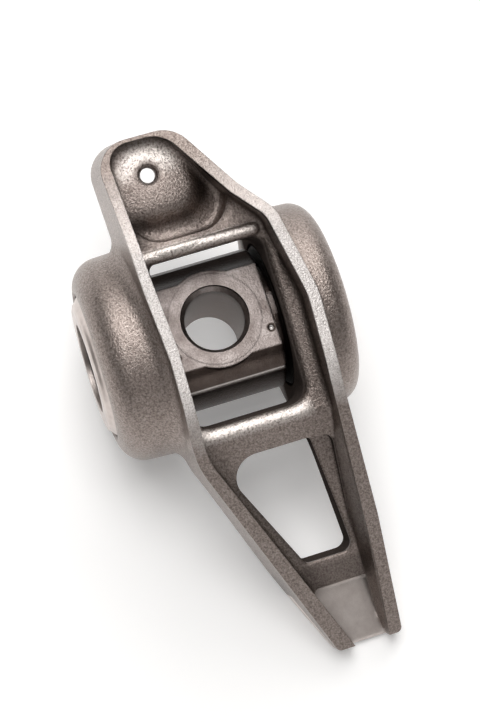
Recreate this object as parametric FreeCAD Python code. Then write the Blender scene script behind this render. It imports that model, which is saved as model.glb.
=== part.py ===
import FreeCAD
import Part
import math
import os
from FreeCAD import Vector

# Offset rocker arm: a cast steel channel body with two round bearing drums, a rocking trunnion
# with one vertical bolt hole, and a caged needle bearing in each drum.
# Millimetres. Row frame: origin on the pivot axis in the middle of the trunnion, +X towards the
# valve tip, +Y along the pivot axis, +Z up the bolt hole.
# The body is drawn in its own arm frame, with the ground rim level over the trunnion, and is then
# pitched tip down by ARM_PITCH, the attitude in which its two drums and its tip stand on a table.
ARM_PITCH = 14.8            # degrees

# Drums
BORE_R = 10.0
DRUM_WALL = 4.5
DRUM_R = BORE_R + DRUM_WALL
DRUM_TAPER = 0.45           # the flank narrows by this much towards its end
DRUM_FACE_LEFT = 16.8       # from the arm's middle to the drum's end face
DRUM_FACE_RIGHT = 17.4
DRUM_CONE = 0.7             # fall of the drum's end face from bore to flank
DRUM_END_R_LEFT = 3.9       # large round between end face and flank
DRUM_END_R_RIGHT = 3.0
DRUM_BLEND_LEFT = 2.4       # hollow blend between a drum and the arm's wall
DRUM_BLEND_RIGHT = 0.4
MOUTH_CHAMFER = 0.6

# Trunnion
BARREL_PLAY = 0.2           # gap to the bore that the barrel is put in through
BARREL_R = BORE_R - BARREL_PLAY
BARREL_HALF = 7.55
BARREL_CHAMFER = 0.3
FLAT_CUT = 2.5              # deep enough that the boss still passes through the bore
TOP_FLAT = BARREL_R - FLAT_CUT
SEAT_DEPTH = TOP_FLAT
TOP_FLAT_HALF = 5.85
FACET_OUT = 8.5             # outer edge of the sloped facet
FACET_FOOT_X = 7.0          # the facet is hollow and turns at this place
FACET_FOOT_FALL = 1.7
FACET_ROUND = 3.0
BOSS_R = 6.75
BOSS_PROUD = 0.05           # turned rings that the bolt's head and the pedestal bear on
RING_R = 6.3
BOLT_R = 4.05
ENTRY_R = BOLT_R + 0.6
ENTRY_DEPTH = 1.1
ENTRY_CONE = 0.5
PIN_R = 7.0
PIN_CHAMFER = 0.5
STAKES = [(3.3, 6.85), (3.8, -6.45)]
STAKE_R = 0.5
STAKE_DEPTH = 0.4

# Needle bearings
CUP_WALL = 1.0
RACE_R = BORE_R - CUP_WALL
CUP_INNER = BARREL_HALF + 0.75      # half distance between the cups' inner ends
CUP_SHOULDER = DRUM_FACE_LEFT - 0.2
CUP_NOSE = 0.9                      # how far a cup's nose reaches beyond its shoulder
CUP_END = CUP_SHOULDER + CUP_NOSE
CUP_STEP = 0.8                      # the nose starts this far inside the cup's outside
CUP_END_STEP = 1.7                  # and the end face this far
CUP_END_BEVEL_OUT = 0.55            # bevel between the nose's cone and its end face
CUP_END_BEVEL_DEPTH = 0.22
CUP_LIP_STEP = 3.8                  # and the hole in the end this far
CUP_INNER_LIP_STEP = 2.4
CUP_LIP = 0.7                       # thickness of the turned-in lips
CUP_CORNER = 0.4
CUP_NECK = 0.3                      # length of the step between shoulder and nose
PIN_END = CUP_END - CUP_LIP - 0.3
ROLLER_COUNT = 14
ROLLER_PLAY = 0.03                  # gap from a needle to the pin and to the cup
CAGE_PLAY = 0.09                    # gap from the cage to the pin and to the cup
CAGE_END_PLAY = 0.2
CAGE_RIM = 0.3
POCKET_PLAY = 0.06                  # gap round a needle in its pocket

# Arm from above, at the height of the level rim: x, y, corner radius, wall of the side that follows
NOSE_X = -27.3
TIP_X = 46.4
OPEN_END = -3.0             # the channel runs out through the tip
OUTLINE = [
    (NOSE_X, -10.0, 4.2, 1.4),
    (-8.0, -9.15, 12.0, 1.45),
    (1.5, -8.35, 12.0, 1.45),
    (15.5, -8.45, 12.0, 1.45),
    (TIP_X, 4.9, 0.8, OPEN_END),
    (TIP_X, 12.95, 0.8, 1.1),
    (29.6, 13.2, 30.0, 1.45),
    (10.5, 12.55, 20.0, 1.5),
    (-2.0, 12.7, 12.0, 1.5),
    (-13.6, 10.2, 5.0, 1.4),
    (-18.0, 6.5, 8.0, 1.4),
    (NOSE_X, 0.7, 4.5, 0.3),
]
DRAFT = 2.8                 # degrees, the outer walls widen downwards

# Arm from the side
RIM_OVER_DRUM = 2.5
RIM_Z = DRUM_R + RIM_OVER_DRUM
RIM_NOSE_X = -13.0
RIM_NOSE_FALL = 0.25        # for each millimetre towards the nose
RIM_TIP_X = 8.0
RIM_BEND_R = 16.0
NOSE_UNDER_Z = 4.5
WEB_UNDER_X = 19.0          # underside of the web turns down here
WEB_UNDER_Z = 4.2
UNDER_BEND_R = 8.0
VALVE_X = 43.5              # where the curved tip pad touches the valve or a table
VALVE_PAD_R = 20.0
PAD_BACK = 4.0              # the curve starts this far behind its lowest point

# Channel floor
FLOOR_OVER_BORE = 1.3
FLOOR_Z = BORE_R + FLOOR_OVER_BORE
FLOOR_BEND_X = 13.3
FLOOR_BEND_R = 0.4
LEDGE_END_X = 38.2          # step down to the tip pad's upper face
LEDGE_STEP = 0.3
LEDGE_ROUND = 0.5
PAD_THICKNESS = 2.0         # tip pad over the valve contact
LEDGE_OVER_PAD = 1.45
RIM_OVER_PAD = 3.1          # rim at the tip
FLOOR_ROUND = 1.0           # along the foot of the walls
FOOT_LEAST = 2.5            # shorter edges of that foot stay sharp
ACROSS = 0.9                # an edge whose run has this much of Y crosses the arm
BAR_X = -11.9               # rounded bar along the trunnion opening's nose side
BAR_Z = FLOOR_Z + 0.1
BAR_R = 0.9
BAR_START = -8.5            # inside the left wall
BAR_END = 7.6

# Nose: hollow round a raised dome, oil hole and ball seat
SEAT_X = -22.4
SEAT_Y = -3.7
SEAT_R = 4.1
SEAT_ROOF = 1.6             # metal over the ball seat
SEAT_FLARE = 0.6
DOME_X = -15.5              # foot of the dome towards the pivot and towards the right wall
DOME_Y = 3.7
DOME_CORNER_R = 4.6
DOME_SLOPE = 2.0            # the dome's top is this much smaller all round
DOME_ROUND = 1.6
HOLLOW_X = -13.4
HOLLOW_LEFT_Y = -7.9
HOLLOW_RIGHT_Y = 5.4
HOLLOW_CORNER_R = 4.2
HOLLOW_DEPTH = 1.9
HOLLOW_ROUND = 1.5
OIL_R = 1.0
OIL_ENTRY_R = 1.45
OIL_ENTRY_DEPTH = 0.8

# Trunnion opening and window
OPENING = [
    (-11.0, -7.0, 1.0),
    (11.8, -7.0, 2.4),
    (11.8, 8.4, 2.4),
    (-11.0, 8.4, 1.8),
]
OPENING_ROUND = 1.3         # along its upper edge
OPENING_MARGIN = 0.1        # the round's cutter is this much wider than the round
WINDOW = [
    (16.7, -5.5, 3.2),
    (34.1, 3.3, 1.1),
    (34.1, 10.3, 1.4),
    (16.7, 7.7, 1.0),
]
SIDE_POCKET_START = (16.9, 10.5)    # the web steps down into a pocket beside the window
SIDE_POCKET_END = (33.0, 10.5)
SIDE_POCKET_INNER_Y = 6.5
SIDE_POCKET_DEPTH = 2.4             # runs out to nothing at the pocket's end
SIDE_POCKET_R = 1.5
WALL_FOOT = [                       # the right wall is thicker at its foot: x, extra width
    (12.5, 0.05),
    (18.0, 0.8),
    (29.6, 1.2),
    (TIP_X, 0.4),
]
FOOT_SUNK = 0.4

# Further than any surface of the part, a little past the ends of the arm, and near enough to touch
FAR = 60.0
BEYOND = 2.0
NEAR = 0.01

ORIGIN = Vector(0, 0, 0)
PIVOT = Vector(0, 1, 0)
UP = Vector(0, 0, 1)


def rounded_wire(corners, place):
    """Closed wire through corners (a, b, radius), each rounded; place makes a point of (a, b)."""
    count = len(corners)
    turns = []
    for i, corner in enumerate(corners):
        here = Vector(corner[0], corner[1], 0)
        back = Vector(corners[i - 1][0], corners[i - 1][1], 0) - here
        ahead = Vector(corners[(i + 1) % count][0], corners[(i + 1) % count][1], 0) - here
        back.normalize()
        ahead.normalize()
        radius = corner[2]
        if radius <= 0:
            turns.append((here, None, here))
            continue
        half = back.getAngle(ahead) / 2
        inward = back + ahead
        inward.normalize()
        run = radius / math.tan(half)
        centre = here + inward * (radius / math.sin(half))
        turns.append((here + back * run, centre - inward * radius, here + ahead * run))
    edges = []
    for i, (start, middle, end) in enumerate(turns):
        if middle is not None:
            edges.append(Part.Arc(place(start), place(middle), place(end)).toShape())
        following = turns[(i + 1) % count][0]
        edges.append(Part.LineSegment(place(end), place(following)).toShape())
    return Part.Wire(edges)


def at_height(z):
    return lambda p: Vector(p.x, p.y, z)


def side_solid(corners):
    """Side view (x, z, radius), as wide as the whole part."""
    wire = rounded_wire(corners, lambda p: Vector(p.x, -FAR, p.y))
    return Part.Face(wire).extrude(PIVOT * (2 * FAR))


def plan_solid(corners, low=-FAR, high=FAR):
    """View from above (x, y, radius), from one height to another."""
    return Part.Face(rounded_wire(corners, at_height(low))).extrude(UP * (high - low))


def spun(corners):
    """Solid of revolution about the pivot axis from corners (y, r, radius)."""
    wire = rounded_wire(corners, lambda p: Vector(0, p.x, -p.y))
    return Part.Face(wire).revolve(ORIGIN, PIVOT, 360)


def along_pivot(radius, start, end):
    return Part.makeCylinder(radius, end - start, PIVOT * start, PIVOT)


def upright(radius, low, high, x=0, y=0):
    return Part.makeCylinder(radius, high - low, Vector(x, y, low), UP)


def other_side(shape):
    return shape.mirror(ORIGIN, PIVOT)


def moved_in(outline, distances):
    """The outline with each side moved in by its own distance, corners (x, y, radius)."""
    count = len(outline)
    sides = []
    for i in range(count):
        start = Vector(outline[i][0], outline[i][1], 0)
        run = Vector(outline[(i + 1) % count][0], outline[(i + 1) % count][1], 0) - start
        run.normalize()
        sides.append((start + Vector(-run.y, run.x, 0) * distances[i], run))
    corners = []
    for i in range(count):
        p, d = sides[i - 1]
        q, e = sides[i]
        across = d.x * e.y - d.y * e.x
        along = ((q.x - p.x) * e.y - (q.y - p.y) * e.x) / across
        hit = p + d * along
        corners.append((hit.x, hit.y, outline[i][2]))
    return corners


def outer_corners(z):
    spread = (RIM_Z - z) * math.tan(math.radians(DRAFT))
    return moved_in(OUTLINE, [-spread] * len(OUTLINE))


def inner_corners():
    walls = [side[3] for side in OUTLINE]
    corners = []
    for i, (x, y, radius) in enumerate(moved_in(OUTLINE, walls)):
        corners.append((x, y, max(radius - walls[i], FLOOR_ROUND / 2)))
    return corners


def rim_height(x):
    fall = (RIM_Z - pad_height() - RIM_OVER_PAD) / (TIP_X - RIM_TIP_X)
    return RIM_Z - max(0.0, x - RIM_TIP_X) * fall


def right_wall(x):
    """Inner face of the right wall at the height of the rim."""
    corners = [(a, b) for a, b, radius in inner_corners() if b > 0 and a > 0]
    corners.sort()
    for (x0, y0), (x1, y1) in zip(corners, corners[1:]):
        if x0 <= x <= x1:
            return y0 + (y1 - y0) * (x - x0) / (x1 - x0)
    return corners[-1][1]


def contact_height():
    """Height of the valve contact in the arm frame: the drums and the tip share a floor."""
    pitch = math.radians(ARM_PITCH)
    return (VALVE_X * math.sin(pitch) - DRUM_R) / math.cos(pitch)


def pad_height():
    return contact_height() + PAD_THICKNESS


def floor_height(x):
    fall = (FLOOR_Z - pad_height() - LEDGE_OVER_PAD) / (LEDGE_END_X - FLOOR_BEND_X)
    return FLOOR_Z - max(0.0, x - FLOOR_BEND_X) * fall


def pitched(shape):
    turned = shape.copy()
    turned.rotate(ORIGIN, PIVOT, ARM_PITCH)
    return turned


def valve_pad():
    """Axis of the curve under the tip."""
    pitch = math.radians(ARM_PITCH)
    return VALVE_X - VALVE_PAD_R * math.sin(pitch), contact_height() + VALVE_PAD_R * math.cos(pitch)


def side_view():
    """Side view of the arm between the drums, with the curved tip pad."""
    axis_x, axis_z = valve_pad()
    back_x = axis_x - PAD_BACK
    back_z = axis_z - math.sqrt(VALVE_PAD_R ** 2 - PAD_BACK ** 2)
    nose_x = NOSE_X - BEYOND
    tip_x = TIP_X + BEYOND
    tip_z = axis_z - math.sqrt(VALVE_PAD_R ** 2 - (tip_x - axis_x) ** 2)
    arm = side_solid([
        (tip_x, rim_height(tip_x), 0),
        (RIM_TIP_X, RIM_Z, RIM_BEND_R),
        (RIM_NOSE_X, RIM_Z, RIM_BEND_R),
        (nose_x, RIM_Z - (RIM_NOSE_X - nose_x) * RIM_NOSE_FALL, 0),
        (nose_x, NOSE_UNDER_Z, 0),
        (WEB_UNDER_X, WEB_UNDER_Z, UNDER_BEND_R),
        (back_x, back_z, 0),
        (tip_x, tip_z, 0),
    ])
    curve = Part.makeCylinder(VALVE_PAD_R, 2 * FAR, Vector(axis_x, -FAR, axis_z), PIVOT)
    under = side_solid([
        (back_x, back_z, 0),
        (back_x, back_z - VALVE_PAD_R, 0),
        (tip_x, back_z - VALVE_PAD_R, 0),
        (tip_x, tip_z, 0),
    ])
    return arm.fuse(curve.common(under))


def drum(inner, face, end_round):
    """One drum on the positive side, from the trunnion opening to its end face."""
    return spun([
        (inner, 0, 0),
        (inner, DRUM_R, 0),
        (face - DRUM_CONE, DRUM_R - DRUM_TAPER, end_round),
        (face, BORE_R, 0),
        (face, 0, 0),
    ])


def bearing_bore(face):
    bore = along_pivot(BORE_R, 0, FAR)
    bore.rotate(ORIGIN, PIVOT, 90)      # its seam lies underneath, clear of the opening
    mouth = Part.makeCone(BORE_R, BORE_R + 2 * MOUTH_CHAMFER, 2 * MOUTH_CHAMFER,
                          PIVOT * (face - MOUTH_CHAMFER), PIVOT)
    return bore.fuse(mouth)


def channel():
    """The space between the walls above the floor, open at the tip, rounded along its foot."""
    above = side_solid([
        (NOSE_X - BEYOND, FLOOR_Z, 0),
        (FLOOR_BEND_X, FLOOR_Z, FLOOR_BEND_R),
        (LEDGE_END_X, floor_height(LEDGE_END_X), LEDGE_ROUND),
        (LEDGE_END_X + LEDGE_STEP, pad_height(), 0),
        (TIP_X + BEYOND, pad_height(), 0),
        (TIP_X + BEYOND, FAR, 0),
        (NOSE_X - BEYOND, FAR, 0),
    ])
    space = plan_solid(inner_corners()).common(above)
    foot = []
    for edge in space.Edges:
        middle = edge.valueAt((edge.FirstParameter + edge.LastParameter) / 2)
        along_wall = abs(edge.tangentAt(edge.FirstParameter).y) < ACROSS
        on_floor = abs(middle.z - floor_height(middle.x)) < LEDGE_STEP
        if along_wall and on_floor and edge.Length > FOOT_LEAST:
            foot.append(edge)
    return space.makeFillet(FLOOR_ROUND, foot)


def nose_hollow():
    """Rounded hollow behind and beside the dome that carries the oil hole."""
    bottom = FLOOR_Z - HOLLOW_DEPTH
    space = plan_solid([
        (2 * NOSE_X, HOLLOW_LEFT_Y, 0),
        (HOLLOW_X, HOLLOW_LEFT_Y, HOLLOW_CORNER_R),
        (HOLLOW_X, HOLLOW_RIGHT_Y, HOLLOW_CORNER_R),
        (2 * NOSE_X, HOLLOW_RIGHT_Y, 0),
    ], bottom, FLOOR_Z + BEYOND)
    space = space.makeFillet(HOLLOW_ROUND, [e for e in space.Edges if e.BoundBox.ZMax < bottom + NEAR
                                            and e.BoundBox.XMax > NOSE_X])
    foot = [
        (3 * NOSE_X, 3 * NOSE_X, 0),
        (DOME_X, 3 * NOSE_X, 0),
        (DOME_X, DOME_Y, DOME_CORNER_R),
        (3 * NOSE_X, DOME_Y, 0),
    ]
    top = moved_in(foot, [0, DOME_SLOPE, DOME_SLOPE, 0])
    top[2] = (top[2][0], top[2][1], DOME_CORNER_R - DOME_SLOPE)
    dome = Part.makeLoft([
        rounded_wire(foot, at_height(bottom)),
        rounded_wire(top, at_height(FLOOR_Z)),
    ], True, True)
    dome = dome.makeFillet(DOME_ROUND, [e for e in dome.Edges if e.BoundBox.ZMin > FLOOR_Z - NEAR
                                        and e.BoundBox.XMax > NOSE_X and e.BoundBox.YMax > NOSE_X])
    return space.common(plan_solid(inner_corners())).cut(dome)


def ball_seat():
    centre_z = FLOOR_Z - SEAT_ROOF - SEAT_R
    mouth = math.sqrt(SEAT_R ** 2 - (centre_z - NOSE_UNDER_Z) ** 2)
    seat = Part.makeSphere(SEAT_R, Vector(SEAT_X, SEAT_Y, centre_z))
    below = upright(mouth, NOSE_UNDER_Z - BEYOND, centre_z, SEAT_X, SEAT_Y)
    flare = Part.makeCone(mouth + SEAT_FLARE, mouth, SEAT_FLARE, Vector(SEAT_X, SEAT_Y, NOSE_UNDER_Z), UP)
    return seat.fuse([below, flare])


def oil_hole():
    hole = upright(OIL_R, FLOOR_Z - SEAT_ROOF - SEAT_R, FLOOR_Z + BEYOND, SEAT_X, SEAT_Y)
    entry_foot = Vector(SEAT_X, SEAT_Y, FLOOR_Z - OIL_ENTRY_DEPTH)
    entry = Part.makeCone(OIL_R, OIL_ENTRY_R, OIL_ENTRY_DEPTH, entry_foot, UP)
    return hole.fuse(entry)


def bar():
    """Rounded bar that edges the trunnion opening on its nose side."""
    stem = Part.makeCylinder(BAR_R, BAR_END - BAR_START, Vector(BAR_X, BAR_START, BAR_Z), PIVOT)
    return stem.fuse(Part.makeSphere(BAR_R, Vector(BAR_X, BAR_END, BAR_Z))).removeSplitter()


def opening():
    """Opening for the trunnion, with its upper edge rounded between the channel's walls."""
    spread = OPENING_ROUND + OPENING_MARGIN
    around = [(x, y, r + spread) for x, y, r in moved_in(OPENING, [-spread] * len(OPENING))]
    upper = plan_solid(OPENING, FLOOR_Z - 2 * OPENING_ROUND, FLOOR_Z)
    cutter = upper.fuse(plan_solid(around, FLOOR_Z, FLOOR_Z + OPENING_ROUND))
    reach = upper.BoundBox
    reach.enlarge(NEAR)
    corner_line = [e for e in cutter.Edges if e.BoundBox.ZMin > FLOOR_Z - NEAR and reach.isInside(e.BoundBox)]
    cutter = cutter.makeFillet(OPENING_ROUND, corner_line)
    return plan_solid(OPENING).fuse(cutter.common(plan_solid(inner_corners())))


def side_pocket():
    start_x, start_y = SIDE_POCKET_START
    end_x, end_y = SIDE_POCKET_END
    plan = plan_solid([
        (start_x, SIDE_POCKET_INNER_Y, 0),
        (end_x, SIDE_POCKET_INNER_Y, 0),
        (end_x, end_y, 0),
        (start_x, start_y, SIDE_POCKET_R),
    ])
    side = side_solid([
        (start_x - BEYOND, floor_height(start_x) - SIDE_POCKET_DEPTH, 0),
        (start_x, floor_height(start_x) - SIDE_POCKET_DEPTH, 0),
        (end_x, floor_height(end_x), 0),
        (end_x, floor_height(end_x) + BEYOND, 0),
        (start_x - BEYOND, FLOOR_Z + BEYOND, 0),
    ])
    return plan.common(side)


def wall_foot():
    """Wedge along the inside of the right wall, from the floor up to the rim."""
    wires = []
    for x, width in WALL_FOOT:
        y = right_wall(x)
        low = pad_height() - FOOT_SUNK if x > LEDGE_END_X else floor_height(x) - FOOT_SUNK
        high = rim_height(x) - FOOT_SUNK
        wires.append(Part.makePolygon([
            Vector(x, y + FOOT_SUNK, low),
            Vector(x, y - width, low),
            Vector(x, y, high),
            Vector(x, y + FOOT_SUNK, high),
            Vector(x, y + FOOT_SUNK, low),
        ]))
    return Part.makeLoft(wires, True, True)


def blended(casting, side, radius):
    """Round the hollow line in which one drum's flank comes out of the arm's outside."""
    line = []
    for edge in casting.Edges:
        low, high = edge.ParameterRange
        points = [edge.valueAt(low + (high - low) * i / 4) for i in range(5)]
        on_flank = all(DRUM_R - DRUM_TAPER < math.hypot(p.x, p.z) < DRUM_R for p in points)
        slanting = edge.BoundBox.YLength > NEAR
        if on_flank and slanting and points[0].y * side > 0:
            line.append(edge)
    return casting.makeFillet(radius, line)


def rocker_body():
    low, high = -DRUM_R - BEYOND, RIM_Z + BEYOND
    outside = Part.makeLoft([
        rounded_wire(outer_corners(low), at_height(low)),
        rounded_wire(outer_corners(high), at_height(high)),
    ], True, True)
    left_y, right_y = OPENING[0][1], OPENING[2][1]
    left = other_side(drum(-left_y, DRUM_FACE_LEFT, DRUM_END_R_LEFT))
    right = drum(right_y, DRUM_FACE_RIGHT, DRUM_END_R_RIGHT)
    casting = outside.common(side_view()).fuse([left, right]).removeSplitter().Solids[0]
    casting = blended(casting, -1, DRUM_BLEND_LEFT)
    casting = blended(casting, 1, DRUM_BLEND_RIGHT)
    casting = casting.cut(channel()).cut(nose_hollow()).fuse(wall_foot())
    casting = casting.cut([side_pocket(), plan_solid(WINDOW), opening()]).fuse(bar())
    casting = casting.cut([bearing_bore(DRUM_FACE_RIGHT), other_side(bearing_bore(DRUM_FACE_LEFT))])
    casting = casting.cut([ball_seat(), oil_hole()])
    return pitched(casting.removeSplitter())


def trunnion():
    barrel = along_pivot(BARREL_R, -BARREL_HALF, BARREL_HALF)
    barrel = barrel.makeChamfer(BARREL_CHAMFER, [e for e in barrel.Edges if len(e.Vertexes) == 1])
    facet_z = math.sqrt(BARREL_R ** 2 - FACET_OUT ** 2)
    foot_x, foot_z = FACET_FOOT_X, TOP_FLAT - FACET_FOOT_FALL
    slope = (foot_z - facet_z) / (FACET_OUT - foot_x)
    shoulder_z = facet_z - slope * (BARREL_R - FACET_OUT)
    block = side_solid([
        (-BARREL_R, -SEAT_DEPTH, 0),
        (BARREL_R, -SEAT_DEPTH, 0),
        (BARREL_R, shoulder_z, 0),
        (foot_x, foot_z, FACET_ROUND),
        (TOP_FLAT_HALF, TOP_FLAT, 0),
        (-TOP_FLAT_HALF, TOP_FLAT, 0),
        (-foot_x, foot_z, FACET_ROUND),
        (-BARREL_R, shoulder_z, 0),
    ])
    boss = upright(BOSS_R, -SEAT_DEPTH, TOP_FLAT)
    rings = upright(RING_R, -SEAT_DEPTH - BOSS_PROUD, TOP_FLAT + BOSS_PROUD)
    pins = along_pivot(PIN_R, -PIN_END, PIN_END)
    pins = pins.makeChamfer(PIN_CHAMFER, [e for e in pins.Edges if len(e.Vertexes) == 1])
    piece = barrel.common(block).fuse([boss, rings, pins]).removeSplitter()
    entry_z = TOP_FLAT + BOSS_PROUD - ENTRY_DEPTH
    entry = upright(ENTRY_R, entry_z + ENTRY_CONE, FAR)
    cone = Part.makeCone(BOLT_R, ENTRY_R, ENTRY_CONE, UP * entry_z, UP)
    piece = piece.cut([upright(BOLT_R, -FAR, FAR), entry, cone])
    for x, y in STAKES:
        piece = piece.cut(Part.makeCone(0, STAKE_R, STAKE_DEPTH, Vector(x, y, TOP_FLAT - STAKE_DEPTH), UP))
    return piece


def bearing_cup():
    """Drawn cup of the right drum, with its open end and its rounded nose outwards."""
    inner_lip_r = BORE_R - CUP_INNER_LIP_STEP
    end_r = BORE_R - CUP_END_STEP
    lip_r = BORE_R - CUP_LIP_STEP
    return spun([
        (CUP_INNER, inner_lip_r, 0),
        (CUP_INNER, BORE_R - CUP_CORNER, 0),
        (CUP_INNER + CUP_CORNER, BORE_R, 0),
        (CUP_SHOULDER - CUP_CORNER, BORE_R, 0),
        (CUP_SHOULDER, BORE_R - CUP_CORNER, 0),
        (CUP_SHOULDER + CUP_NECK, BORE_R - CUP_STEP, 0),
        (CUP_END - CUP_END_BEVEL_DEPTH, end_r + CUP_END_BEVEL_OUT, 0),
        (CUP_END, end_r, 0),
        (CUP_END, lip_r, 0),
        (CUP_END - CUP_LIP, lip_r, 0),
        (CUP_END - CUP_LIP, end_r - CUP_WALL, 0),
        (CUP_SHOULDER, RACE_R - CUP_STEP, 0),
        (CUP_SHOULDER - CUP_NECK, RACE_R, 0),
        (CUP_INNER + CUP_LIP, RACE_R, 0),
        (CUP_INNER + CUP_LIP, inner_lip_r, 0),
    ])


def cage_span():
    return CUP_INNER + CUP_LIP + CAGE_END_PLAY, CUP_SHOULDER - CUP_NECK - CAGE_END_PLAY


def around_pin(make):
    """One piece for each needle, made at its place round the pin."""
    pitch_r = (RACE_R + PIN_R) / 2
    pieces = []
    for i in range(ROLLER_COUNT):
        angle = 2 * math.pi * i / ROLLER_COUNT
        pieces.append(make(pitch_r * math.cos(angle), pitch_r * math.sin(angle), angle))
    return pieces


def needle_rollers():
    start, end = cage_span()
    start += CAGE_RIM
    end -= CAGE_RIM
    radius = (RACE_R - PIN_R) / 2 - ROLLER_PLAY

    def roller(x, z, angle):
        return Part.makeCylinder(radius, end - start, Vector(x, start, z), PIVOT)

    return around_pin(roller)


def needle_cage():
    start, end = cage_span()
    cage = along_pivot(RACE_R - CAGE_PLAY, start, end).cut(along_pivot(PIN_R + CAGE_PLAY, start, end))
    width = RACE_R - PIN_R - 2 * ROLLER_PLAY + 2 * POCKET_PLAY
    low = start + CAGE_RIM - POCKET_PLAY
    length = end - start - 2 * (CAGE_RIM - POCKET_PLAY)
    depth = RACE_R - PIN_R + BEYOND

    def pocket(x, z, angle):
        box = Part.makeBox(depth, length, width, Vector(-depth / 2, low, -width / 2))
        box.rotate(ORIGIN, PIVOT, -math.degrees(angle))
        return box.translated(Vector(x, 0, z))

    return cage.cut(around_pin(pocket))


def export(name, shape):
    solids = shape.Solids
    assert len(solids) == 1, name + " is not one solid"
    solids[0].exportStep(os.path.join("parts", name + ".step"))


if __name__ == "__main__":
    os.makedirs("parts", exist_ok=True)
    export("rocker_body", rocker_body())
    export("trunnion", trunnion())
    cup = bearing_cup()
    cage = needle_cage()
    rollers = needle_rollers()
    export("bearing_cup_right", cup)
    export("bearing_cup_left", other_side(cup))
    export("needle_cage_right", cage)
    export("needle_cage_left", other_side(cage))
    for i, roller in enumerate(rollers):
        export("needle_roller_right_%02d" % (i + 1), roller)
        export("needle_roller_left_%02d" % (i + 1), other_side(roller))
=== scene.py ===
# %% [markdown]
# Looks of the cast rocker arm: a needle-bearing arm photographed from above on a white table.
# All lengths are metres in the frame of the CAD model.

import math

import bmesh
import bpy
from mathutils import Matrix, Vector


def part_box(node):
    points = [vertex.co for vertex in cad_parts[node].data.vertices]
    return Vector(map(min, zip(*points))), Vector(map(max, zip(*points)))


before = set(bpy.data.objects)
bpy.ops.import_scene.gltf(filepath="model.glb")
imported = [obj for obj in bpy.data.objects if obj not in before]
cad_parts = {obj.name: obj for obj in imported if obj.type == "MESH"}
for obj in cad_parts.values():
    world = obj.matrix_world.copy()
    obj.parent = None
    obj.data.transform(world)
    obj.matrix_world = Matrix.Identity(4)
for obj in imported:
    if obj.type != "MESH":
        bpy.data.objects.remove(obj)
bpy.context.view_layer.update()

# %% [markdown]
# The camera stands almost above the arm and is turned so that the nose is up and the tip down.

# %%
CAMERA_AT = Vector((0.057127, -0.033327, 0.251447))
CAMERA_AIM = Vector((0.0049859, 0.0024398, 0.0))
CAMERA_ROLL = math.radians(-18.2987)
CAMERA_LENS = 94.64
CAMERA_SENSOR = 36.0
CAMERA_NEAR = 0.01
TO_NOSE = Vector((-1.0, 0.0, 0.0))


def place_camera():
    """Adds the camera and returns the directions of its right, its top and its back as a matrix."""
    forward = (CAMERA_AIM - CAMERA_AT).normalized()
    right = forward.cross(TO_NOSE).normalized()
    up = right.cross(forward)
    turned_right = right * math.cos(CAMERA_ROLL) + up * math.sin(CAMERA_ROLL)
    turned_up = up * math.cos(CAMERA_ROLL) - right * math.sin(CAMERA_ROLL)
    axes = Matrix((turned_right, turned_up, -forward)).transposed()
    data = bpy.data.cameras.new("Camera")
    data.sensor_fit = "VERTICAL"
    data.sensor_height = CAMERA_SENSOR
    data.lens = CAMERA_LENS
    data.clip_start = CAMERA_NEAR
    data.dof.use_dof = False
    camera = bpy.data.objects.new("Camera", data)
    camera.matrix_world = Matrix.Translation(CAMERA_AT) @ axes.to_4x4()
    bpy.context.scene.collection.objects.link(camera)
    bpy.context.scene.camera = camera
    return axes


view_axes = place_camera()


def in_view(right, up, back):
    """A direction given by its parts along the picture's right, its top and towards the camera."""
    return (view_axes @ Vector((right, up, back))).normalized()


# %% [markdown]
# A small kit for materials. A value is a number, a colour or a node's output. A share runs from 0 to 1.
# A pair of numbers is where a share starts and where it is full, and four numbers are a band.

# %%
ARM_PITCH = math.radians(14.8)
SOFT_SAMPLES = 6


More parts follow.
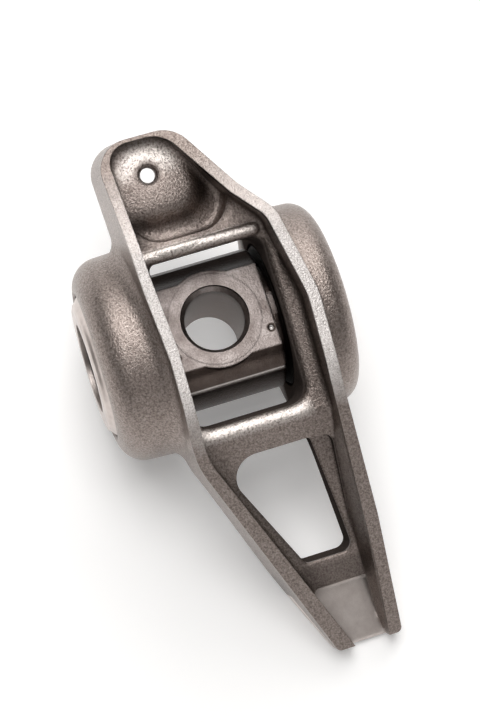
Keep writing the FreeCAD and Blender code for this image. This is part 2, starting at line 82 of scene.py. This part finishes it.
class Weave:
    """One material and short names for its nodes."""

    def __init__(self, name):
        self.material = bpy.data.materials.new(name)
        self.material.use_nodes = True
        self.tree = self.material.node_tree
        self.tree.nodes.clear()
        self.surface = self.node("ShaderNodeBsdfPrincipled")
        output = self.node("ShaderNodeOutputMaterial")
        self.link(self.surface.outputs["BSDF"], output.inputs["Surface"])
        self.place = self.node("ShaderNodeTexCoord").outputs["Object"]

    def node(self, kind):
        return self.tree.nodes.new(kind)

    def link(self, value, socket):
        if isinstance(value, (int, float)):
            socket.default_value = value
        elif isinstance(value, tuple):
            has_alpha = len(socket.default_value) == 4
            socket.default_value = (*value, 1.0) if has_alpha else value
        else:
            self.tree.links.new(value, socket)

    def finish(self, values):
        """Sets the surface's sockets by their names and returns the material."""
        for name, value in values.items():
            self.link(value, self.surface.inputs[name])
        return self.material

    def maths(self, operation, first, second=0.0):
        node = self.node("ShaderNodeMath")
        node.operation = operation
        self.link(first, node.inputs[0])
        self.link(second, node.inputs[1])
        return node.outputs["Value"]

    def plus(self, first, second):
        return self.maths("ADD", first, second)

    def minus(self, first, second):
        return self.maths("SUBTRACT", first, second)

    def times(self, *values):
        product = values[0]
        for value in values[1:]:
            product = self.maths("MULTIPLY", product, value)
        return product

    def larger(self, first, second):
        return self.maths("MAXIMUM", first, second)

    def size(self, value):
        return self.maths("ABSOLUTE", value)

    def past(self, value, start):
        """How far a value lies past a start, and 0 before it."""
        return self.larger(self.minus(value, start), 0.0)

    def away(self, first, second):
        """Distance from the origin of a plane with these two coordinates."""
        return self.maths("SQRT", self.plus(self.times(first, first), self.times(second, second)))

    def step(self, value, start, full):
        """Share that rises from start to full, in either direction."""
        node = self.node("ShaderNodeMapRange")
        node.inputs["From Min"].default_value = start
        node.inputs["From Max"].default_value = full
        self.link(value, node.inputs["Value"])
        return node.outputs["Result"]

    def band(self, value, start, full, full_end, end):
        """Share that rises from start to full and falls again from full_end to end."""
        return self.times(self.step(value, start, full), self.step(value, end, full_end))

    def rest(self, share):
        """What a share leaves."""
        return self.step(share, 1.0, 0.0)

    def blend(self, share, first, second):
        """A number between two, by a share."""
        node = self.node("ShaderNodeMix")
        self.link(share, node.inputs["Factor"])
        self.link(first, node.inputs[2])
        self.link(second, node.inputs[3])
        return node.outputs[0]

    def mix(self, share, first, second):
        """A colour between two, by a share."""
        node = self.node("ShaderNodeMix")
        node.data_type = "RGBA"
        self.link(share, node.inputs["Factor"])
        self.link(first, node.inputs[6])
        self.link(second, node.inputs[7])
        return node.outputs[2]

    def tint(self, colour, over, *shares):
        """A colour with another one over it, as far as all the shares allow."""
        return self.mix(self.times(*shares), colour, over)

    def noise(self, scale, detail, roughness):
        node = self.node("ShaderNodeTexNoise")
        node.inputs["Scale"].default_value = scale
        node.inputs["Detail"].default_value = detail
        node.inputs["Roughness"].default_value = roughness
        self.link(self.place, node.inputs["Vector"])
        return node.outputs["Fac"]

    def parts(self, vector):
        node = self.node("ShaderNodeSeparateXYZ")
        self.link(vector, node.inputs["Vector"])
        return node.outputs["X"], node.outputs["Y"], node.outputs["Z"]

    def vector(self, operation, first, second, output="Vector"):
        node = self.node("ShaderNodeVectorMath")
        node.operation = operation
        self.link(first, node.inputs[0])
        self.link(second, node.inputs[1])
        return node.outputs[output]

    def in_arm(self):
        """Position in the arm's own frame, which is pitched against the CAD frame."""
        turn = self.node("ShaderNodeMapping")
        turn.inputs["Rotation"].default_value = (0.0, -ARM_PITCH, 0.0)
        self.link(self.place, turn.inputs["Vector"])
        return turn.outputs["Vector"]

    def facing(self):
        """The face's direction in the piece's own frame, the same at every pose."""
        node = self.node("ShaderNodeVectorTransform")
        node.vector_type = "NORMAL"
        node.convert_from = "WORLD"
        node.convert_to = "OBJECT"
        self.link(self.node("ShaderNodeNewGeometry").outputs["True Normal"], node.inputs["Vector"])
        return node.outputs["Vector"]

    def corners(self, distance, start, full):
        """Share of a tight corner, from the light that gets in within a distance."""
        node = self.node("ShaderNodeAmbientOcclusion")
        node.samples = SOFT_SAMPLES
        node.inputs["Distance"].default_value = distance
        return self.step(node.outputs["AO"], start, full)

    def relief(self, height, edge_round, depth=1.0):
        """Bumps of a height times a depth, on edges that look rounded."""
        bevel = self.node("ShaderNodeBevel")
        bevel.samples = SOFT_SAMPLES
        self.link(edge_round, bevel.inputs["Radius"])
        bump = self.node("ShaderNodeBump")
        bump.inputs["Distance"].default_value = depth
        self.link(height, bump.inputs["Height"])
        self.link(bevel.outputs["Normal"], bump.inputs["Normal"])
        self.link(bump.outputs["Normal"], self.surface.inputs["Normal"])


# %% [markdown]
# White paper under three soft lamps: one overhead that leans to the picture's top, a low one from the
# picture's top and a faint one from the front. The paper's glow is seen by the camera and in the metal and
# lights nothing. Far from the arm it rises to plain white, as the world's does behind it.

# %%
FLOOR_Z = min(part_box("rocker_body")[0][2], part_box("trunnion")[0][2])
FLOOR_HALF = 1.5
FLOOR_COLOUR = (0.93, 0.93, 0.93)
FLOOR_ROUGHNESS = 0.9
FLOOR_SHEEN = 0.1
FLOOR_GLOW = 0.16
FAR_AWAY = (0.12, 0.5)
WHITE = (1.0, 1.0, 1.0)
LAMP_COLOUR = (1.0, 0.99, 0.98)
WORLD_COLOUR = (1.0, 0.98, 0.96, 1.0)
WORLD_LIGHT = 0.25


def floor_paper():
    w = Weave("Floor paper")
    path = w.node("ShaderNodeLightPath").outputs
    far = w.step(w.vector("DISTANCE", w.place, (0.0, 0.0, 0.0), "Value"), *FAR_AWAY)
    seen = w.times(path["Is Camera Ray"], w.blend(far, FLOOR_GLOW, 1.0))
    mirrored = w.times(path["Is Glossy Ray"], FLOOR_GLOW)
    return w.finish({
        "Base Color": FLOOR_COLOUR,
        "Roughness": FLOOR_ROUGHNESS,
        "Specular IOR Level": FLOOR_SHEEN,
        "Emission Color": WHITE,
        "Emission Strength": w.larger(seen, mirrored),
    })


def add_floor():
    mesh = bpy.data.meshes.new("Floor")
    build = bmesh.new()
    bmesh.ops.create_grid(build, x_segments=1, y_segments=1, size=FLOOR_HALF)
    build.to_mesh(mesh)
    build.free()
    mesh.materials.append(floor_paper())
    floor = bpy.data.objects.new("Floor", mesh)
    floor.location = (0.0, 0.0, FLOOR_Z)
    bpy.context.scene.collection.objects.link(floor)


def add_lamp(name, direction, distance, width, watts):
    data = bpy.data.lights.new(name, "AREA")
    data.shape = "SQUARE"
    data.size = width
    data.energy = watts
    data.color = LAMP_COLOUR
    lamp = bpy.data.objects.new(name, data)
    lamp.location = direction * distance
    lamp.rotation_euler = direction.to_track_quat("Z", "Y").to_euler()
    bpy.context.scene.collection.objects.link(lamp)


def add_world():
    world = bpy.data.worlds.new("Daylight")
    world.use_nodes = True
    tree = world.node_tree
    background = tree.nodes["Background"]
    background.inputs["Color"].default_value = WORLD_COLOUR
    path = tree.nodes.new("ShaderNodeLightPath")
    strength = tree.nodes.new("ShaderNodeMapRange")
    strength.inputs["To Min"].default_value = WORLD_LIGHT
    tree.links.new(path.outputs["Is Camera Ray"], strength.inputs["Value"])
    tree.links.new(strength.outputs["Result"], background.inputs["Strength"])
    bpy.context.scene.world = world


add_floor()
add_lamp("Overhead", in_view(-0.05, 0.43, 0.90), distance=0.8, width=0.5, watts=4.1)
add_lamp("Back", in_view(0.05, 0.92, 0.35), distance=1.0, width=0.8, watts=5.2)
add_lamp("Front", in_view(0.25, -0.75, 0.55), distance=1.0, width=0.6, watts=0.9)
add_world()
bpy.context.scene.view_settings.view_transform = "Standard"

# %% [markdown]
# Places on the casting, in the arm's own frame. The rim is level in its middle and falls to the tip and to
# the nose. The channel's floor falls to the tip as well.

# %%
RIM_HEIGHT = 0.017
RIM_BEND_X = 0.008
RIM_FALL = 0.401
RIM_NOSE_X = -0.013
RIM_NOSE_FALL = 0.25
RIM_UNDER = (-0.0007, -0.0003)
NOSE_RIM_X = (-0.013, -0.021)

GROUND_X = (-0.021, -0.013, 0.011, 0.017)
GROUND_FULL_X = (-0.013, -0.007)
GROUND_LEAST = 0.35
GROUND_WOBBLE = 0.006

PAD_X = (0.0383, 0.0384)
PAD_Z = (-0.00095, -0.00115)

CHANNEL_FLOOR = 0.0113
FLOOR_BEND_X = 0.0133
FLOOR_FALL = 0.456
LEFT_WALL_SLOPE = 0.432
LEFT_WALL_FOOT = -0.01435
LEFT_WALL_Y = -0.00765
LEFT_WALL_EDGE = (0.0, 0.0001)
RIGHT_WALL_Y = (0.0119, 0.0118)

OPENINGS_X = (-0.0125, -0.0123, 0.0353, 0.0355)
OPENINGS_Z = (-0.009, -0.005)
UNDER_FLOOR = (-0.0003, -0.0009)
STEEP = (0.6, 0.5)
IN_BORE = (0.0103, 0.0101)

OIL_HOLE_AT = (-0.0224, -0.0037)
HIGHLIGHT_R = (0.0014, 0.0024, 0.0034, 0.0048)
HIGHLIGHT_X = (OIL_HOLE_AT[0] + 0.0008, OIL_HOLE_AT[0] - 0.0016)
BAR_X = (-0.0131, -0.01247, -0.01193, -0.0113)
BEAM_X = (0.0113, 0.01228, 0.01312, 0.0141)
BAR_Y = (-0.0095, -0.0080, 0.0076, 0.0092)
BAR_Z = (CHANNEL_FLOOR - 0.0012, CHANNEL_FLOOR - 0.0006)

FLASH_UNDER = (-0.0012, -0.0010, 0.0, 0.0001)
FLASH_WOBBLE = 0.0008
FLASH_X = (-0.009, -0.013)
INWARD = (-0.0005, -0.001)

BESIDE_X = (-0.012, -0.009, 0.0115, 0.0135)
BESIDE_Y = (0.0078, 0.0088, 0.0118, 0.0121)
BESIDE_Z = (CHANNEL_FLOOR + 0.002, CHANNEL_FLOOR + 0.0005)
END_WEB_X = (0.0345, 0.0352, 0.0383, 0.0384)
END_WEB_UNDER = (-0.0015, -0.0025)

DOME_AT = (-0.0195, -0.003)
DOME_REACH = 0.008
DOME_CURVE = 22.0
NOSE_X = (-0.0125, -0.0135)

# %% [markdown]
# Surface of the casting: grain in colour and relief, a ground rim and a milled pad at the tip. Painted
# highlights over the dome, on the bar and on the opening's edge, painted shade in tight corners, beside the
# trunnion opening and at the tip's end web, and near-black painted shade on the openings' walls and in the
# bores.
# A noise is given by its scale, its detail and its roughness. Its pair says how sharply it parts two colours.

# %%
GRAIN_FINE = (3600.0, 3.0, 0.7)
GRAIN_COARSE = (1800.0, 3.0, 0.6)
COARSE_SHARE = 0.2
GRAIN_PARTS = (0.36, 0.64)
GRAIN_DEPTH = 0.00012
PAD_SMOOTH = 0.9
STAIN_NOISE = (120.0, 2.0, 0.5)
STAIN_PARTS = (0.7, 0.3)
STAIN_SHARE = 0.15
SPECKLE_NOISE = (6000.0, 2.0, 0.6)
SPECKLE_PARTS = (0.34, 0.56)
MILLED_NOISE = (500.0, 4.0, 0.6)
CLOUD_PARTS = (0.3, 0.7)
HIGHLIGHT_PARTS = (0.30, 0.56)
RIM_NOISE = (260.0, 3.0, 0.6)
FLASH_NOISE = (900.0, 2.0, 0.6)

CAST_DARK = (0.18, 0.145, 0.13)
CAST_LIGHT = (0.43, 0.37, 0.338)
STAIN = (0.14, 0.11, 0.10)
GROUND_DARK = (0.50, 0.46, 0.44)
GROUND_LIGHT = (0.86, 0.82, 0.80)
MILLED_DARK = (0.76, 0.675, 0.635)
MILLED_LIGHT = (0.94, 0.86, 0.815)
NOSE_RIM = (0.10, 0.08, 0.07)
NOSE_RIM_SHARE = 0.35
# Colour of the painted highlights on the dome, the bar and the beam.
PAINTED_HIGHLIGHT = (0.80, 0.74, 0.70)
# Painted shade for the casting's tight corners.
CAST_CORNER_SHADE = (0.04, 0.03, 0.026)
CAST_CORNER_SHADE_SHARE = 0.5
CAST_CORNER = (0.005, 0.85, 0.2)
FLASH = (0.02, 0.015, 0.013)
SHADED = (0.05, 0.04, 0.035)
SHADED_SHARE = 0.35
# Near-black painted shade for the openings' steep walls.
WALL_SHADE = (0.045, 0.036, 0.032)
WALL_SHADE_SHARE = 0.9
# Near-black painted shade for the bores.
BORE_SHADE = (0.02, 0.016, 0.014)

CAST_ROUND = 0.0009
NOSE_ROUND = 0.0016
RIM_ROUND = 0.0002
CAST_ROUGHNESS = 0.31
GROUND_ROUGHNESS = 0.50
PAD_ROUGHNESS = 0.34


def cast_steel():
    w = Weave("Cast steel")
    place = w.in_arm()
    x, y, z = w.parts(place)
    facing = w.facing()

    to_tip = w.times(w.past(x, RIM_BEND_X), RIM_FALL)
    to_nose = w.times(w.larger(w.minus(RIM_NOSE_X, x), 0.0), RIM_NOSE_FALL)
    over_rim = w.minus(z, w.minus(w.minus(RIM_HEIGHT, to_tip), to_nose))
    on_rim = w.step(over_rim, *RIM_UNDER)
    off_rim = w.rest(on_rim)
    along = w.plus(x, w.times(w.noise(*RIM_NOISE), GROUND_WOBBLE))
    thinned = w.blend(w.step(along, *GROUND_FULL_X), GROUND_LEAST, 1.0)
    ground = w.times(on_rim, w.band(along, *GROUND_X), thinned)
    on_pad = w.times(w.step(x, *PAD_X), w.step(z, *PAD_Z))

    grain = w.blend(COARSE_SHARE, w.noise(*GRAIN_FINE), w.noise(*GRAIN_COARSE))
    speckle = w.step(w.noise(*SPECKLE_NOISE), *SPECKLE_PARTS)
    milling = w.step(w.noise(*MILLED_NOISE), *CLOUD_PARTS)
    colour = w.mix(w.step(grain, *GRAIN_PARTS), CAST_DARK, CAST_LIGHT)
    colour = w.tint(colour, STAIN, w.step(w.noise(*STAIN_NOISE), *STAIN_PARTS), STAIN_SHARE)
    colour = w.tint(colour, NOSE_RIM, on_rim, w.step(x, *NOSE_RIM_X), NOSE_RIM_SHARE)
    colour = w.tint(colour, w.mix(speckle, GROUND_DARK, GROUND_LIGHT), ground)
    colour = w.tint(colour, w.mix(milling, MILLED_DARK, MILLED_LIGHT), on_pad)

    # Painted highlights: a ring around the oil hole on the dome and bands along the bar's and the beam's top
    # edges, broken by the grain.
    from_hole = w.away(w.minus(x, OIL_HOLE_AT[0]), w.minus(y, OIL_HOLE_AT[1]))
    on_dome = w.times(w.band(from_hole, *HIGHLIGHT_R), w.step(x, *HIGHLIGHT_X))
    on_edge = w.larger(w.band(x, *BAR_X), w.band(x, *BEAM_X))
    on_edge = w.times(on_edge, w.band(y, *BAR_Y), w.step(z, *BAR_Z))
    painted_highlight = w.times(w.larger(on_dome, on_edge), w.step(grain, *HIGHLIGHT_PARTS))
    colour = w.tint(colour, PAINTED_HIGHLIGHT, painted_highlight, off_rim)
    # Painted shade in tight corners, where the ambient occlusion is low.
    colour = w.tint(colour, CAST_CORNER_SHADE, w.corners(*CAST_CORNER), CAST_CORNER_SHADE_SHARE)

    ragged = w.plus(over_rim, w.times(w.noise(*FLASH_NOISE), FLASH_WOBBLE))
    from_dome = w.vector("SUBTRACT", place, (*OIL_HOLE_AT, 0.0))
    inward = w.step(w.vector("DOT_PRODUCT", facing, from_dome, "Value"), *INWARD)
    colour = w.tint(colour, FLASH, w.band(ragged, *FLASH_UNDER), inward, w.step(x, *FLASH_X))
    beside = w.times(w.band(y, *BESIDE_Y), w.band(x, *BESIDE_X), w.step(z, *BESIDE_Z))
    colour = w.tint(colour, SHADED, beside, SHADED_SHARE)
    end_web = w.times(w.band(x, *END_WEB_X), w.step(y, *RIGHT_WALL_Y), w.step(over_rim, *END_WEB_UNDER))
    colour = w.tint(colour, SHADED, end_web, SHADED_SHARE)

    # Painted shade: the steep walls of the openings below the channel's floor are painted near black and are
    # not metallic.
    left_wall = w.larger(w.plus(w.times(x, LEFT_WALL_SLOPE), LEFT_WALL_FOOT), LEFT_WALL_Y)
    over_floor = w.minus(z, w.minus(CHANNEL_FLOOR, w.times(w.past(x, FLOOR_BEND_X), FLOOR_FALL)))
    inside = w.times(w.step(w.minus(y, left_wall), *LEFT_WALL_EDGE), w.step(y, *RIGHT_WALL_Y))
    inside = w.times(inside, w.band(x, *OPENINGS_X), w.step(z, *OPENINGS_Z))
    steep = w.step(w.size(w.parts(facing)[2]), *STEEP)
    wall_shade = w.times(w.step(over_floor, *UNDER_FLOOR), inside, steep)
    colour = w.tint(colour, WALL_SHADE, wall_shade, WALL_SHADE_SHARE)
    # Painted shade, near black, inside the drums' bores; these faces are not metallic either.
    in_bore = w.step(w.away(x, z), *IN_BORE)
    colour = w.tint(colour, BORE_SHADE, in_bore)

    smoothed = w.minus(1.0, w.times(on_pad, PAD_SMOOTH))
    bulge = w.away(w.minus(x, DOME_AT[0]), w.minus(y, DOME_AT[1]))
    bulge = w.maths("MINIMUM", bulge, DOME_REACH)
    bulge = w.times(bulge, bulge, off_rim, -DOME_CURVE)
    height = w.plus(w.times(grain, smoothed, GRAIN_DEPTH), bulge)
    edge_round = w.blend(w.step(x, *NOSE_X), CAST_ROUND, NOSE_ROUND)
    w.relief(height, w.blend(on_rim, edge_round, RIM_ROUND))
    roughness = w.blend(ground, CAST_ROUGHNESS, GROUND_ROUGHNESS)
    return w.finish({
        "Base Color": colour,
        "Roughness": w.blend(on_pad, roughness, PAD_ROUGHNESS),
        "Metallic": w.rest(w.larger(wall_shade, in_bore)),
        "Specular IOR Level": 0.0,
    })


# %% [markdown]
# The trunnion: a blasted top with a turned hole, stake marks painted as a bright highlight in a ring of
# painted shade, darker flanks with a painted highlight along the tip side's lower edge, painted shade on the
# flank below that edge and on the nose side's flank, painted shade in corners, and ends painted near black as
# the shade of the bore.

# %%
TRUNNION_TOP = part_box("trunnion")[1][2]
TOP_FACING = (0.97, 0.99)
TIP_FLANK_X = (0.0086, 0.0088)
NOSE_FLANK_X = (-0.0052, -0.0058)
LIP_X = (0.00825, 0.00838, 0.00858, 0.00868)
LIP_Z = (0.0, 0.001)
HOLE_R = (0.0049, 0.0048)
HOLE_DARK_Z = (TRUNNION_TOP - 0.0030, TRUNNION_TOP - 0.0012)
MOUTH_R = (0.0062, 0.0060)
MOUTH_FACING = (0.3, 0.4)
ENDS_Y = (0.0079, 0.0083)
STAKES = [(0.0033, 0.00685), (0.0038, -0.00645)]
STAKE_EDGE_R = (0.0007, 0.0006)
STAKE_R = (0.00036, 0.00028)

BLAST_NOISE = (4200.0, 2.0, 0.7)
BLAST_PARTS = (0.65, 0.35)
BLAST_SHARE = 0.45
BLAST_DEPTH = 0.00006
MOTTLE_NOISE = (380.0, 4.0, 0.6)
MOTTLE_DEPTH = 0.5

TOP_DARK = (0.18, 0.151, 0.140)
TOP_LIGHT = (0.42, 0.375, 0.358)
TOP_PITS = (0.12, 0.095, 0.088)
FLANK_DARK = (0.12, 0.092, 0.08)
FLANK_LIGHT = (0.20, 0.16, 0.142)
# Painted shade for the flank past the lip and for the nose side's flank.
TIP_FLANK_SHADE = (0.06, 0.045, 0.039)
NOSE_FLANK_SHADE = (0.012, 0.009, 0.008)
# Painted highlight along the tip side's lower edge.
LIP_HIGHLIGHT = (0.85, 0.80, 0.77)
HOLE = (0.20, 0.16, 0.142)
HOLE_DARK = (0.08, 0.062, 0.054)
# Near-black painted shade for the ends that lie in the bores.
ENDS_SHADE = (0.008, 0.006, 0.005)
# Painted shade around each stake mark and a painted highlight in its middle.
STAKE_SHADE = (0.10, 0.08, 0.07)
STAKE_HIGHLIGHT = (0.92, 0.89, 0.87)

# Painted shade for tight corners of the trunnion and the bearing parts.
CORNER_SHADE = (0.05, 0.037, 0.032)
CORNER_SHADE_SHARE = 0.45
CORNER = (0.003, 0.85, 0.25)
TRUNNION_ROUND = 0.00035
HOLE_ROUND = 0.0001
FLANK_ROUGHNESS = 0.35
TOP_ROUGHNESS = 0.48


def trunnion_steel():
    w = Weave("Trunnion steel")
    x, y, z = w.parts(w.place)
    up = w.parts(w.facing())[2]
    from_axis = w.away(x, y)
    blast = w.noise(*BLAST_NOISE)
    mottle = w.noise(*MOTTLE_NOISE)
    mottled = w.step(mottle, *CLOUD_PARTS)

    top = w.mix(mottled, TOP_DARK, TOP_LIGHT)
    top = w.tint(top, TOP_PITS, w.step(blast, *BLAST_PARTS), BLAST_SHARE)
    colour = w.mix(mottled, FLANK_DARK, FLANK_LIGHT)
    # Painted shade on the flank past the lip, towards the tip.
    colour = w.tint(colour, TIP_FLANK_SHADE, w.step(x, *TIP_FLANK_X))
    # Painted highlight: a bright line along the tip side's lower edge.
    colour = w.tint(colour, LIP_HIGHLIGHT, w.band(x, *LIP_X), w.step(z, *LIP_Z))
    # Painted shade, near black, on the nose side's flank.
    colour = w.tint(colour, NOSE_FLANK_SHADE, w.step(x, *NOSE_FLANK_X))
    hole = w.mix(w.step(z, *HOLE_DARK_Z), HOLE, HOLE_DARK)
    colour = w.tint(colour, hole, w.step(from_axis, *HOLE_R))
    # Painted shade on the ends, where they lie inside the bores.
    colour = w.tint(colour, ENDS_SHADE, w.step(w.size(y), *ENDS_Y))
    on_top = w.step(up, *TOP_FACING)
    on_mouth = w.times(w.step(from_axis, *MOUTH_R), w.step(up, *MOUTH_FACING))
    colour = w.tint(colour, top, w.larger(on_top, on_mouth))
    # Each stake mark: a ring of painted shade and a painted highlight in its middle.
    for stake_x, stake_y in STAKES:
        from_stake = w.away(w.minus(x, stake_x), w.minus(y, stake_y))
        colour = w.tint(colour, STAKE_SHADE, w.step(from_stake, *STAKE_EDGE_R))
        colour = w.tint(colour, STAKE_HIGHLIGHT, w.step(from_stake, *STAKE_R))
    # Painted shade in tight corners, kept out of the hole.
    out_of_hole = w.rest(w.step(from_axis, *HOLE_R))
    corner_shade = w.maths("MINIMUM", w.corners(*CORNER), out_of_hole)
    colour = w.tint(colour, CORNER_SHADE, corner_shade, CORNER_SHADE_SHARE)

    height = w.plus(blast, w.times(mottle, MOTTLE_DEPTH))
    w.relief(height, w.blend(out_of_hole, HOLE_ROUND, TRUNNION_ROUND), BLAST_DEPTH)
    return w.finish({
        "Base Color": colour,
        "Roughness": w.blend(on_top, FLANK_ROUGHNESS, TOP_ROUGHNESS),
        "Metallic": 1.0,
        "Specular IOR Level": 0.0,
    })


# %% [markdown]
# Cups, cages and needles: plain steels with painted shade in their corners, and painted near-black shade
# where they lie inside the drums.

# %%
PLAIN_NOISE = (3800.0, 2.0, 0.7)
PLAIN_MOTTLE = (420.0, 3.0, 0.6)
INSIDE_Y = (0.0100, 0.0096)
# Near-black painted shade for what lies inside the drums.
INSIDE_SHADE = (0.006, 0.005, 0.004)
INSIDE_ROUGHNESS = 0.8


def plain_steel(name, dark, light, roughness, depth, edge_round):
    w = Weave(name)
    y = w.parts(w.place)[1]
    colour = w.mix(w.step(w.noise(*PLAIN_MOTTLE), *CLOUD_PARTS), dark, light)
    # Painted shade in tight corners.
    colour = w.tint(colour, CORNER_SHADE, w.corners(*CORNER), CORNER_SHADE_SHARE)
    # Painted shade, near black and rough, where the piece lies inside a drum.
    inside = w.step(w.size(y), *INSIDE_Y)
    w.relief(w.noise(*PLAIN_NOISE), edge_round, depth)
    return w.finish({
        "Base Color": w.tint(colour, INSIDE_SHADE, inside),
        "Roughness": w.blend(inside, roughness, INSIDE_ROUGHNESS),
        "Metallic": 1.0,
        "Specular IOR Level": 0.0,
    })


cup_steel = plain_steel(
    "Cup steel",
    dark=(0.50, 0.44, 0.41),
    light=(0.68, 0.61, 0.575),
    roughness=0.34,
    depth=0.00001,
    edge_round=0.0002,
)
cage_steel = plain_steel(
    "Cage steel",
    dark=(0.22, 0.20, 0.19),
    light=(0.32, 0.29, 0.27),
    roughness=0.4,
    depth=0.00001,
    edge_round=0.0001,
)
needle_steel = plain_steel(
    "Needle steel",
    dark=(0.55, 0.54, 0.53),
    light=(0.70, 0.69, 0.68),
    roughness=0.2,
    depth=0.000002,
    edge_round=0.0001,
)

# %% [markdown]
# Each piece of the CAD model gets the material that the start of its name calls for.

# %%
MATERIALS = {
    "rocker_body": cast_steel(),
    "trunnion": trunnion_steel(),
    "bearing_cup": cup_steel,
    "needle_cage": cage_steel,
    "needle_roller": needle_steel,
}

for name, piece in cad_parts.items():
    material = next(material for start, material in MATERIALS.items() if name.startswith(start))
    if piece.material_slots:
        for slot in piece.material_slots:
            slot.material = material
    else:
        piece.data.materials.append(material)
